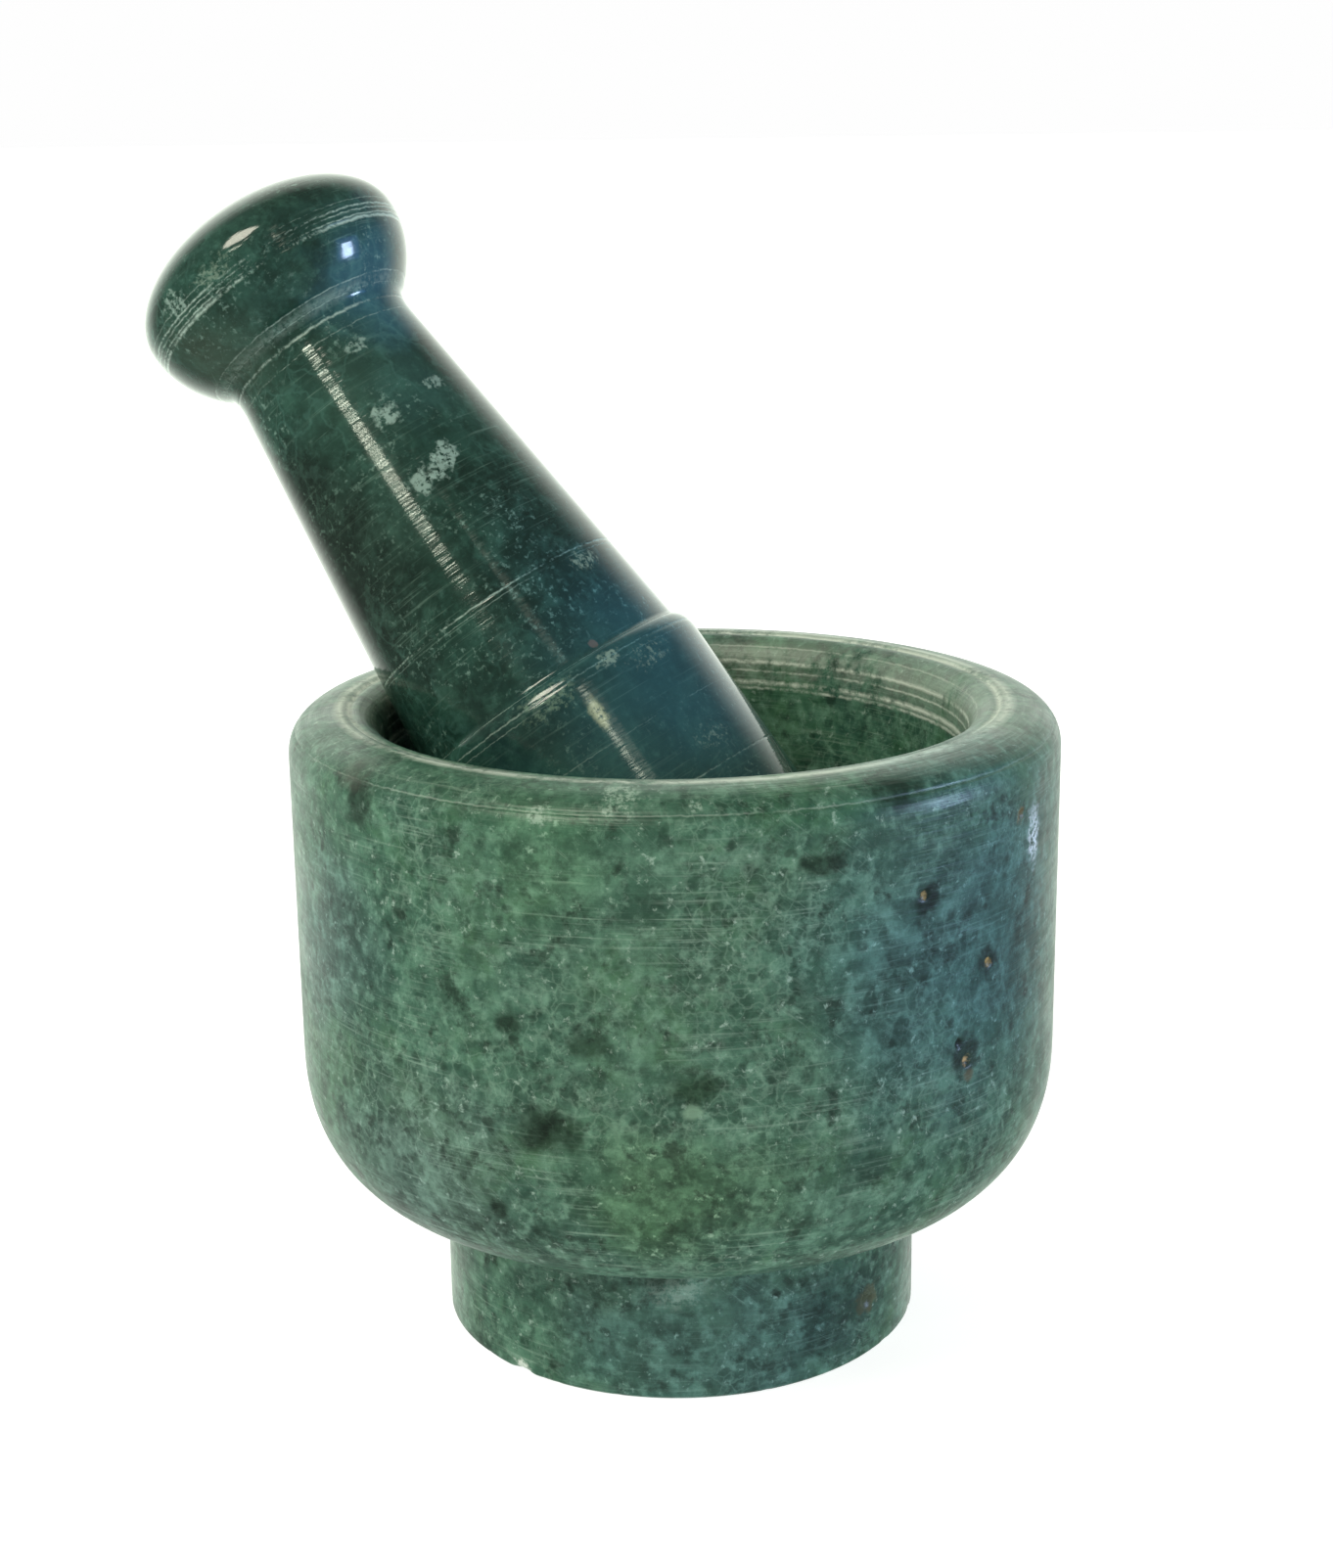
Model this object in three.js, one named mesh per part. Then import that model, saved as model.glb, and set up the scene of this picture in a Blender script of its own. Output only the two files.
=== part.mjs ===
// Mortar and pestle, each turned from one block of green marble.
// Millimetres, +Z up. The origin is the middle of the mortar's foot, on the surface it stands on.
import * as THREE from 'three';

// The mortar
const mortarHeight = 84.2;
const mortarRadius = 50;
const footRadius = 31.8;
const footHeight = 19.6;
const footEdge = 0.5;
const cornerHeight = 20;
const cornerFullness = 2.35;
const shoulderWidth = 7.5;
const shoulderDrop = 5.6;
const shoulderFullness = 2.4;
const lipRadius = 4.4;
const wallThickness = 14.5;
const floorHeight = 24;

// The pestle, with lengths along its own axis
const headRadius = 22;
const headLength = 41.7;
const stepWidth = 1.6;
const stepRound = 3.2;
const shaftEndRadius = 19.4;
const shaftLength = 56.1;
const neckRadius = 12.8;
const neckBlend = 3;
const knobRadius = 18.9;
const knobDome = 10;
const knobUnder = 15;

// How the pestle stands in the mortar. Its round head rests in the bowl, swung up from straight
// below on the side away from the lean, and a little to one side. Its shaft rests on the lip.
const leanAzimuth = THREE.MathUtils.degToRad(154);
const headSwing = THREE.MathUtils.degToRad(43);
const headSide = THREE.MathUtils.degToRad(13.1);
const seatClearance = 0.3;

// How finely the pieces are faceted and the seat is worked out
const mortarSegments = 80;
const pestleSegments = 56;
const outlinePitch = 0.5;
const lipSpots = 90;
const firstStep = 0.1;
const lastStep = 0.0002;
const quarterTurn = Math.PI / 2;

const point = (r, z) => new THREE.Vector2(r, z);

// Points on an arc, where angle 0 points away from the axis and a quarter turn points up
function arc(centre, radius, startAngle, endAngle, steps) {
  return Array.from({ length: steps + 1 }, (_, i) => {
    const angle = startAngle + (endAngle - startAngle) * i / steps;
    return point(centre.x + radius * Math.cos(angle), centre.y + radius * Math.sin(angle));
  });
}

// Points on a quarter of a superellipse: a fullness of 2 is an ellipse, and more is squarer
function fullCorner(centre, width, height, fullness, startAngle, endAngle, steps) {
  return arc(point(0, 0), 1, startAngle, endAngle, steps).map((unit) => point(
    centre.x + width * Math.sign(unit.x) * Math.abs(unit.x) ** (2 / fullness),
    centre.y + height * Math.sign(unit.y) * Math.abs(unit.y) ** (2 / fullness),
  ));
}

// Two neighbouring points of an outline that lie closer than this are one
const sameSpot = 0.05;
const tidyOutline = (points) => points.filter(
  (here, i) => i === 0 || here.distanceTo(points[i - 1]) > sameSpot,
);

const bowlRadius = mortarRadius - wallThickness;
const crestRadius = mortarRadius - shoulderWidth;
const bowlCentre = point(0, floorHeight + bowlRadius);
const lipCentre = point(crestRadius, mortarHeight - lipRadius);

// The bowl's wall is the straight line that touches both the round bottom and the lip's arc
function wallDraft() {
  const span = lipCentre.clone().sub(bowlCentre);
  return Math.acos((bowlRadius + lipRadius) / span.length()) - span.angle();
}

// The inside of the mortar, from the lip's crest down to the middle of the floor
function mortarInside() {
  const draft = wallDraft();
  return [
    ...arc(lipCentre, lipRadius, quarterTurn, Math.PI - draft, 8),
    ...arc(bowlCentre, bowlRadius, -draft, -quarterTurn, 14),
  ];
}

function mortarOutside() {
  const cornerCentre = point(footRadius, footHeight + cornerHeight);
  const shoulderCentre = point(crestRadius, mortarHeight - shoulderDrop);
  return [
    point(0, 0),
    point(footRadius - footEdge, 0),
    point(footRadius, footEdge),
    ...fullCorner(cornerCentre, mortarRadius - footRadius, cornerHeight,
      cornerFullness, -quarterTurn, 0, 12),
    ...fullCorner(shoulderCentre, shoulderWidth, shoulderDrop,
      shoulderFullness, 0, quarterTurn, 7),
  ];
}

// The pestle's outline from the tip of its head up, measured from the middle of the round head
function pestleOutline() {
  const neckHeight = headLength + shaftLength;
  const knobHeight = neckHeight + knobUnder * Math.sqrt(1 - (neckRadius / knobRadius) ** 2);
  const knobStart = -Math.acos(neckRadius / knobRadius);
  const shaftRun = point(neckRadius - shaftEndRadius, shaftLength).normalize();
  const neckCorner = point(neckRadius, neckHeight);
  const neckStart = neckCorner.clone().addScaledVector(shaftRun, -neckBlend);
  const underKnob = fullCorner(point(0, knobHeight), knobRadius, knobUnder, 2, knobStart, 0, 9);
  const neck = new THREE.QuadraticBezierCurve(neckStart, neckCorner, underKnob[1]);
  return [
    ...arc(point(0, 0), headRadius, -quarterTurn, 0, 12),
    ...fullCorner(point(shaftEndRadius, headLength - stepRound), stepWidth, stepRound,
      2, 0, quarterTurn, 5),
    ...neck.getPoints(5),
    ...underKnob.slice(2),
    ...fullCorner(point(0, knobHeight), knobRadius, knobDome, 2, 0, quarterTurn, 10).slice(1),
  ];
}

// Points along an outline, no further apart than the given pitch
function dense(outline, pitch) {
  return outline.slice(1).flatMap((end, i) => {
    const steps = Math.ceil(end.distanceTo(outline[i]) / pitch);
    return Array.from({ length: steps }, (_, k) => outline[i].clone().lerp(end, (k + 1) / steps));
  });
}

// The middle of the pestle's head as it rests on the bowl's round bottom, with x towards the lean
function restingHead() {
  const reach = bowlRadius - headRadius - seatClearance;
  return new THREE.Vector3(
    -Math.sin(headSwing) * Math.cos(headSide),
    Math.sin(headSide),
    -Math.cos(headSwing) * Math.cos(headSide),
  ).multiplyScalar(reach).add(new THREE.Vector3(0, 0, bowlCentre.y));
}

// How far the pestle leans: it tips over from upright, by steps that get finer, until its side
// comes to the lip
function restingLean(head) {
  const side = dense(pestleOutline(), outlinePitch);
  const lip = arc(point(0, 0), lipCentre.x, -quarterTurn, quarterTurn, lipSpots)
    .map((spot) => new THREE.Vector3(spot.x, spot.y, lipCentre.y).sub(head));
  const sideGap = (lean) => {
    const axis = new THREE.Vector3(Math.sin(lean), 0, Math.cos(lean));
    return Math.min(...lip.map((spot) => {
      const along = spot.dot(axis);
      const across = point(Math.sqrt(spot.lengthSq() - along ** 2), along);
      return Math.min(...side.map((edge) => edge.distanceTo(across))) - lipRadius;
    }));
  };
  let lean = 0;
  for (let step = firstStep; step > lastStep; step /= 2) {
    while (lean + step < quarterTurn && sideGap(lean + step) > seatClearance) lean += step;
  }
  return lean;
}

function turned(name, outline, segments, finish) {
  const geometry = new THREE.LatheGeometry(tidyOutline(outline), segments);
  geometry.rotateX(quarterTurn);
  const mesh = new THREE.Mesh(geometry, new THREE.MeshStandardMaterial(finish));
  mesh.name = name;
  return mesh;
}

const honedMarble = { color: 0x557a67, roughness: 0.45, metalness: 0 };
const polishedMarble = { color: 0x2b463b, roughness: 0.2, metalness: 0 };

const mortarOutline = [...mortarOutside(), ...mortarInside().slice(1)];
const mortar = turned('mortar', mortarOutline, mortarSegments, honedMarble);

const pestle = turned('pestle', pestleOutline(), pestleSegments, polishedMarble);
pestle.position.copy(restingHead());
pestle.rotation.y = restingLean(pestle.position);

const leanPlane = new THREE.Group();
leanPlane.rotation.z = leanAzimuth;
leanPlane.add(pestle);

const mortarAndPestle = new THREE.Group();
mortarAndPestle.add(mortar, leanPlane);

export default mortarAndPestle;
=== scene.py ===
"""Looks for a mortar and pestle turned from green marble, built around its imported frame.

The mortar is honed and worn. The pestle is polished, and scored by the tool that turned it.
Sizes in the classes are millimetres, and meshes are made in metres, in the frame's own place.
"""

import logging
import math
import random
from dataclasses import dataclass, field
from enum import Enum
from typing import Any, Callable

import bmesh
import bpy
from mathutils import Matrix, Vector


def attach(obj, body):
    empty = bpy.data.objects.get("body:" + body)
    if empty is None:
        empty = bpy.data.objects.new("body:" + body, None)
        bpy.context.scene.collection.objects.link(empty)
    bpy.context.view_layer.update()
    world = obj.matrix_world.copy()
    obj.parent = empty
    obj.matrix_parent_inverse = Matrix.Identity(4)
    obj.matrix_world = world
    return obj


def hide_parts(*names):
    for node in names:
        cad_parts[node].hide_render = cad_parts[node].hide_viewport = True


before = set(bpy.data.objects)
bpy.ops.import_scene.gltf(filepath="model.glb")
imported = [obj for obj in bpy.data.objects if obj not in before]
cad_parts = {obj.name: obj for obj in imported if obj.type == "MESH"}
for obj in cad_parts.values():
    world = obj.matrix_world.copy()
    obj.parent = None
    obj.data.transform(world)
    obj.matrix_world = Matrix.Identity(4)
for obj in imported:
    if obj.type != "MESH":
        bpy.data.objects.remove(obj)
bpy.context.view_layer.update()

log = logging.getLogger("mortar_and_pestle")

MM = 0.001
QUARTER = math.pi / 2
FULL_TURN = 2 * math.pi
RUN = "outline_run"
# Points of a mesh that lie closer than this are one, in millimetres.
WELD = 0.001
# How many straight parts a hollow bend is drawn in.
BEND_STEPS = 10

# A noise texture's patches are about 0.6 wide at a scale of 1.
PATCH_SPAN = 0.6
# Layers read the same noise from places this many millimetres apart, so that none match.
SEED_STEP = 37.0
# How far turning lines and scratches run, in millimetres, and how much a scratch slants.
TURNING_LENGTH = 14.0
SCRATCH_LENGTH = 5.0
SCRATCH_SLANT = 0.9
# Where layers come and go in patches: the patch noise where they begin, and where they are full.
PATCH_FROM, PATCH_FULL = 0.42, 0.62
# Fine specks missing from a mark: their noise's scale, where the mark begins to show and where it
# is full, and how far its gaps move both.
SPECK_SCALE = 1.4
SPECK_FROM, SPECK_FULL, SPECK_MOVE = 0.30, 0.42, 0.25
# A ring wanders by this many millimetres from side to side, and breaks into beads and stretches.
RING_WANDER = 0.5
WANDER_SCALE = 0.9
STRETCH_SCALE = 0.07
STRETCH_SHARE = 1.2
BEAD_FROM, BEAD_FULL, BEAD_MOVE = 0.72, 1.00, 0.6
# How much turning lines and worn patches each dull the surface, and the most that wear adds up to.
WEAR_SHARE = 0.5
WEAR_FULL = 1.4
# A Mix node's sockets, which share their names: for colours, then for plain values.
FACTOR = 0
COLOUR_A, COLOUR_B, COLOUR_MIXED = 6, 7, 2
VALUE_A, VALUE_B, VALUE_MIXED = 2, 3, 0

Link = bpy.types.NodeSocket
Settings = dict[str, Any]
Inputs = dict[int | str, Any]


class StoneBody(Enum):
    """The body that a piece moves with."""

    MORTAR = "mortar"
    PESTLE = "pestle"


class StoneSlot(Enum):
    """A name for each piece's stone."""

    MORTAR = "mortar_stone"
    PESTLE = "pestle_stone"


class Figure(Enum):
    """The kinds of figure that show in the stone."""

    CLOUD = "soft patches of any size"
    GRAIN = "separate mineral grains"
    WEB = "a net of hair-fine veins"
    TURNING = "fine lines left round the piece by turning and rubbing"
    HATCH = "short slanting scratches from use"


class Lay(Enum):
    """How one layer of colour lies on those below it."""

    OVER = "MIX"
    # Takes the tint's hue and saturation: for real stains, and also for painted sheen and a painted
    # floor reflection on the mortar.
    RECOLOUR = "COLOR"
    DEEPEN = "MULTIPLY"
    # Lightens: used only for the painted blue-teal sheen on the pestle's right side.
    LIGHTEN = "SCREEN"


def linear(sheet_colour: str) -> tuple[float, float, float, float]:
    """Turns an sRGB hex colour to linear.

    Args:
        sheet_colour: Six hex digits after a hash sign.

    Returns:
        Linear red, green and blue with full opacity.
    """
    parts = [int(sheet_colour[i : i + 2], 16) / 255 for i in (1, 3, 5)]
    light = [c / 12.92 if c <= 0.04045 else ((c + 0.055) / 1.055) ** 2.4 for c in parts]
    return (light[0], light[1], light[2], 1.0)


def add_node(
    tree: bpy.types.NodeTree,
    kind: str,
    settings: Settings | None = None,
    inputs: Inputs | None = None,
) -> bpy.types.Node:
    """Adds one node with its settings, values and links.

    Args:
        tree: The node tree to add to.
        kind: Blender's name for the node's type.
        settings: Properties of the node itself.
        inputs: A value or an output socket for each named or numbered input.

    Returns:
        The new node.
    """
    node = tree.nodes.new(kind)
    for name, value in (settings or {}).items():
        setattr(node, name, value)
    for name, value in (inputs or {}).items():
        if isinstance(value, Link):
            tree.links.new(value, node.inputs[name])
        else:
            node.inputs[name].default_value = value
    return node


# --- Outlines ---------------------------------------------------------------------------


@dataclass(frozen=True)
class Groove:
    """A fine line cut round the outside of a turned piece.

    Attributes:
        height: Where it is along the piece's own axis.
        half_width: From its middle to its edge.
        depth: How far it goes into the stone.
    """

    height: float
    half_width: float
    depth: float


@dataclass
class Outline:
    """Half a turned piece's section, as points of radius and height in order.

    Attributes:
        points: Radius and height of each point.
        outside_end: How many of the points belong to the outside.
    """

    points: list[Vector]
    outside_end: int = 0

    def runs(self) -> list[float]:
        """Gives the distance along the outline to each point."""
        total = [0.0]
        for here, there in zip(self.points, self.points[1:]):
            total.append(total[-1] + (there - here).length)
        return total

    def radius_at(self, height: float) -> float:
        """Finds how far out the outside is at a height.

        Args:
            height: The height along the piece's own axis.

        Returns:
            The outside's radius there.
        """
        outside = self.points[: self.outside_end]
        for low, high in zip(outside, outside[1:]):
            if low.y <= height <= high.y and high.y > low.y:
                return low.lerp(high, (height - low.y) / (high.y - low.y)).x
        return outside[-1].x

    def run_at(self, height: float, inside: bool) -> float:
        """Finds how far along the outline a height is.

        Args:
            height: The height along the piece's own axis.
            inside: Whether to look inside a hollow, from its rim down.

        Returns:
            The distance along the outline.
        """
        side = range(self.outside_end, len(self.points)) if inside else range(self.outside_end)
        nearest = min(side, key=lambda i: abs(self.points[i].y - height))
        return self.runs()[nearest]

    def evened(self, pitch: float, grooves: tuple[Groove, ...], fine: float) -> "Outline":
        """Spaces the points evenly, and closer where a groove is cut.

        Args:
            pitch: The most that two points may lie apart.
            grooves: The grooves that need closer points.
            fine: The spacing inside a groove.

        Returns:
            The same shape with more points.
        """
        made, outside_end = [self.points[0].copy()], 0
        for i, (here, there) in enumerate(zip(self.points, self.points[1:])):
            low, high = min(here.y, there.y), max(here.y, there.y)
            outside = i + 1 < self.outside_end
            near = outside and any(
                g.height - g.half_width < high and g.height + g.half_width > low
                for g in grooves
            )
            length = (there - here).length
            steps = max(1, math.ceil(length / (fine if near else pitch)))
            made += [here.lerp(there, (k + 1) / steps) for k in range(steps)]
            if outside:
                outside_end = len(made)
        return Outline(made, outside_end)

    def cut(self, grooves: tuple[Groove, ...]) -> None:
        """Cuts grooves into the outside, square to its surface.

        Args:
            grooves: The grooves to cut.
        """
        spots = [p.copy() for p in self.points]
        for i in range(1, self.outside_end - 1):
            along = (spots[i + 1] - spots[i - 1]).normalized()
            inward = Vector((-along.y, along.x))
            for groove in grooves:
                gap = abs(spots[i].y - groove.height) / groove.half_width
                if gap < 1:
                    depth = groove.depth * (1 - gap * gap)
                    self.points[i] = self.points[i] + inward * depth


def arc(
    centre: tuple[float, float], radius: float, start: float, end: float, steps: int
) -> list[Vector]:
    """Makes points on an arc, where angle 0 points away from the axis.

    Args:
        centre: Radius and height of the arc's centre.
        radius: The arc's own radius.
        start: The first angle.
        end: The last angle.
        steps: How many parts it is in.

    Returns:
        The points from start to end.
    """
    return full_corner(centre, radius, radius, 2.0, start, end, steps)


def full_corner(
    centre: tuple[float, float],
    width: float,
    height: float,
    fullness: float,
    start: float,
    end: float,
    steps: int,
) -> list[Vector]:
    """Makes points on part of a superellipse.

    Args:
        centre: Radius and height of its centre.
        width: Its half width.
        height: Its half height.
        fullness: 2 is an ellipse, and more is squarer.
        start: The first angle.
        end: The last angle.
        steps: How many parts it is in.

    Returns:
        The points from start to end.
    """
    made = []
    for i in range(steps + 1):
        angle = start + (end - start) * i / steps
        across, up = math.cos(angle), math.sin(angle)
        made.append(
            Vector(
                (
                    centre[0] + width * math.copysign(abs(across) ** (2 / fullness), across),
                    centre[1] + height * math.copysign(abs(up) ** (2 / fullness), up),
                )
            )
        )
    return made


# --- The stone's figure -----------------------------------------------------------------


@dataclass(frozen=True)
class Cells:
    """How a pattern of cells with wandering borders is drawn.

    Attributes:
        feature: What is measured in a cell.
        scale: The pattern's scale at a cell size of 1 mm.
        drift_scale: The scale of the noise that bends it, at the same size.
        drift_detail: How fine that noise goes.
        push: How far it bends the pattern, in cell sizes.
        smoothness: How rounded a grain's middle is, for a pattern that has one.
    """

    feature: str
    scale: float
    drift_scale: float
    drift_detail: float
    push: float
    smoothness: float | None = None


CELLS = {
    Figure.GRAIN: Cells("SMOOTH_F1", 0.6, 1.1, 3.0, 1.2, 0.25),
    Figure.WEB: Cells("DISTANCE_TO_EDGE", 1.0, 0.9, 4.0, 1.5),
}


@dataclass(frozen=True)
class Layer:
    """One layer of the stone's figure: a tint that lies where a pattern is strong.

    Attributes:
        figure: The pattern's kind.
        size: The real size of one patch, grain, cell or line, in millimetres.
        tint: The layer's colour.
        start: The pattern's value where the tint begins to show.
        full: The value where it shows in full.
        strength: How much of what lies below is covered.
        lay: How it lies on what is below.
        seed: Moves the pattern, so that no two layers match.
        patchy: The size of the patches that it comes and goes in, or 0 for everywhere.
    """

    figure: Figure
    size: float
    tint: str
    start: float
    full: float
    strength: float
    lay: Lay = Lay.OVER
    seed: float = 0.0
    patchy: float = 0.0


@dataclass(frozen=True)
class Spot:
    """A single mark with a place of its own on a piece. Most are stains, pits and scuffs; some are
    painted highlights, glints, reflections and sheen.

    Attributes:
        turn: Degrees round the piece's own axis.
        height: Along the piece's own axis, in millimetres.
        size: Its radius, in millimetres.
        tint: Its colour.
        strength: How much of the stone it covers.
        squat: Its width over its height.
        ragged: How far its edge wanders, in millimetres.
        grain: The size of what makes its edge wander, in millimetres.
        soft: The share of its radius over which it fades.
        lay: How it lies on the stone.
        gaps: How much of it is missing in fine specks, from 0 to 1.
    """

    turn: float
    height: float
    size: float
    tint: str
    strength: float
    squat: float = 1.0
    ragged: float = 1.0
    grain: float = 1.5
    soft: float = 0.8
    lay: Lay = Lay.OVER
    gaps: float = 0.0


@dataclass(frozen=True)
class Ring:
    """A line round a piece, scored or worn by rubbing, whitish where the stone is bruised. Some on
    the mortar's lip and inside its bowl are painted highlights as well.

    Attributes:
        height: Where it is along the piece's own axis, in millimetres.
        half_width: From its middle to where it ends.
        strength: How white it is where it is unbroken.
        inside: Whether it is inside the hollow.
        inwards: How far past that height it lies along the outline, in millimetres.
    """

    height: float
    half_width: float
    strength: float
    inside: bool = False
    inwards: float = 0.0


@dataclass(frozen=True)
class MarbleFinish:
    """Green marble, a serpentine stone: cloudy, grained, and crossed by hair-fine veins.

    Attributes:
        name: The finish's name.
        ground: The colour that lies under every layer.
        layers: The figure, from the bottom up.
        spots: Marks with a place of their own; some of them are painted highlights, glints,
            reflections and sheen.
        rings: Lines worn round the piece by rubbing; some on the mortar are painted highlights as
            well.
        bruise_and_highlight: The colour of bruised stone, and of the rings' painted highlights.
        ring_break: How much of a ring is missing, from 0 to 1.
        roughness: Where the surface is best finished, and where it is worst.
        ior: Index of refraction.
        bump_mm: Depth of the turning marks.
        turning_mm: Distance between turning marks.
        coarse_mm: Width of the bruised beads along a ring.
    """

    name: str
    ground: str
    layers: tuple[Layer, ...]
    spots: tuple[Spot, ...]
    rings: tuple[Ring, ...]
    bruise_and_highlight: str
    ring_break: float
    roughness: tuple[float, float]
    ior: float
    bump_mm: float
    turning_mm: float
    coarse_mm: float

    def made(
        self, place: Matrix, surface: Callable[[float, float], Vector], section: Outline
    ) -> bpy.types.Material:
        """Builds the material.

        Args:
            place: Where the piece's own frame stands, in metres.
            surface: Gives the point on the surface at a turn and a height, in the own frame.
            section: The outline that the piece is spun from.

        Returns:
            The finished material.
        """
        material = bpy.data.materials.new(self.name)
        material.use_nodes = True
        tree = material.node_tree
        tree.nodes.clear()
        back = place.inverted()
        where = add_node(
            tree,
            "ShaderNodeMapping",
            {"vector_type": "POINT"},
            {
                "Vector": add_node(tree, "ShaderNodeTexCoord").outputs["Object"],
                "Scale": (1 / MM,) * 3,
                "Rotation": back.to_euler(),
                "Location": back.to_translation() / MM,
            },
        ).outputs["Vector"]
        run = add_node(tree, "ShaderNodeAttribute", {"attribute_name": RUN}).outputs["Fac"]
        colour: Link | tuple[float, ...] = linear(self.ground)
        for layer in self.layers:
            mask = self._pattern(tree, where, run, layer)
            colour = self._laid(tree, colour, layer.tint, mask, layer.strength, layer.lay)
        # The rings are laid in one pale colour: bruised stone, and on the mortar painted highlights
        # as well.
        ring_wear_and_highlight = self._ring_wear_and_highlight_mask(tree, where, run, section)
        colour = self._laid(tree, colour, self.bruise_and_highlight, ring_wear_and_highlight, 1.0, Lay.OVER)
        for spot in self.spots:
            mask = self._spot(tree, where, surface(spot.turn, spot.height), spot)
            colour = self._laid(tree, colour, spot.tint, mask, spot.strength, spot.lay)
        grit = Layer(Figure.TURNING, self.turning_mm, self.ground, 0.2, 0.8, 1.0, seed=3.0)
        dull = Layer(Figure.CLOUD, 6.0, self.ground, 0.35, 0.7, 1.0, seed=9.0)
        lines = self._pattern(tree, where, run, grit)
        wear = ring_wear_and_highlight
        for cause in (lines, self._pattern(tree, where, run, dull)):
            wear = add_node(
                tree,
                "ShaderNodeMath",
                {"operation": "MULTIPLY_ADD"},
                {0: cause, 1: WEAR_SHARE, 2: wear},
            ).outputs[0]
        best, worst = self.roughness
        gloss = add_node(
            tree,
            "ShaderNodeMapRange",
            {},
            {"Value": wear, "From Max": WEAR_FULL, "To Min": best, "To Max": worst},
        ).outputs["Result"]
        relief = add_node(
            tree,
            "ShaderNodeBump",
            {},
            {"Height": lines, "Strength": 1.0, "Distance": self.bump_mm * MM},
        ).outputs["Normal"]
        shader = add_node(
            tree,
            "ShaderNodeBsdfPrincipled",
            {},
            {"Base Color": colour, "Roughness": gloss, "IOR": self.ior, "Normal": relief},
        )
        add_node(tree, "ShaderNodeOutputMaterial", {}, {"Surface": shader.outputs["BSDF"]})
        return material

    def _pattern(self, tree: bpy.types.NodeTree, where: Link, run: Link, layer: Layer) -> Link:
        """Makes the mask of one layer.

        Args:
            tree: The material's nodes.
            where: The place on the piece in its own frame, in millimetres.
            run: The distance along the outline, in millimetres.
            layer: What to make.

        Returns:
            A value from 0 to 1.
        """
        moved = add_node(
            tree,
            "ShaderNodeVectorMath",
            {"operation": "ADD"},
            {0: where, 1: (layer.seed * SEED_STEP,) * 3},
        ).outputs[0]
        if layer.figure is Figure.CLOUD:
            raised = self._cloud(tree, moved, layer)
        elif layer.figure in CELLS:
            raised = self._cells(tree, moved, layer)
        else:
            raised = self._strokes(tree, moved, run, layer)
        mask = add_node(
            tree,
            "ShaderNodeMapRange",
            {"interpolation_type": "SMOOTHSTEP"},
            {"Value": raised, "From Min": layer.start, "From Max": layer.full},
        ).outputs["Result"]
        if not layer.patchy:
            return mask
        patch = add_node(
            tree,
            "ShaderNodeTexNoise",
            {},
            {"Vector": moved, "Scale": PATCH_SPAN / layer.patchy, "Detail": 2.0},
        ).outputs["Fac"]
        there = add_node(
            tree,
            "ShaderNodeMapRange",
            {"interpolation_type": "SMOOTHSTEP"},
            {"Value": patch, "From Min": PATCH_FROM, "From Max": PATCH_FULL},
        ).outputs["Result"]
        return add_node(
            tree, "ShaderNodeMath", {"operation": "MULTIPLY"}, {0: mask, 1: there}
        ).outputs[0]

    def _cloud(self, tree: bpy.types.NodeTree, moved: Link, layer: Layer) -> Link:
        """Makes soft patches.

        Args:
            tree: The material's nodes.
            moved: The place on the piece, moved for this layer.
            layer: What to make.

        Returns:
            The noise, mostly near its middle value of 0.5.
        """
        return add_node(
            tree,
            "ShaderNodeTexNoise",
            {},
            {
                "Vector": moved,
                "Scale": PATCH_SPAN / layer.size,
                "Detail": 7.0,
                "Roughness": 0.66,
                "Distortion": 0.2,
            },
        ).outputs["Fac"]

    def _cells(self, tree: bpy.types.NodeTree, moved: Link, layer: Layer) -> Link:
        """Makes grains, or the veins between cells.

        Args:
            tree: The material's nodes.
            moved: The place on the piece, moved for this layer.
            layer: What to make.

        Returns:
            A value that is 1 in the middle of a grain or on a vein, and less away from it.
        """
        kind = CELLS[layer.figure]
        drift = add_node(
            tree,
            "ShaderNodeTexNoise",
            {},
            {
                "Vector": moved,
                "Scale": kind.drift_scale / layer.size,
                "Detail": kind.drift_detail,
            },
        ).outputs["Color"]
        bent = add_node(
            tree,
            "ShaderNodeVectorMath",
            {"operation": "MULTIPLY_ADD"},
            {0: drift, 1: (layer.size * kind.push,) * 3, 2: moved},
        ).outputs[0]
        drawn: Inputs = {"Vector": bent, "Scale": kind.scale / layer.size}
        if kind.smoothness is not None:
            drawn["Smoothness"] = kind.smoothness
        away = add_node(
            tree, "ShaderNodeTexVoronoi", {"feature": kind.feature}, drawn
        ).outputs["Distance"]
        return add_node(
            tree, "ShaderNodeMath", {"operation": "SUBTRACT"}, {0: 1.0, 1: away}
        ).outputs[0]

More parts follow.
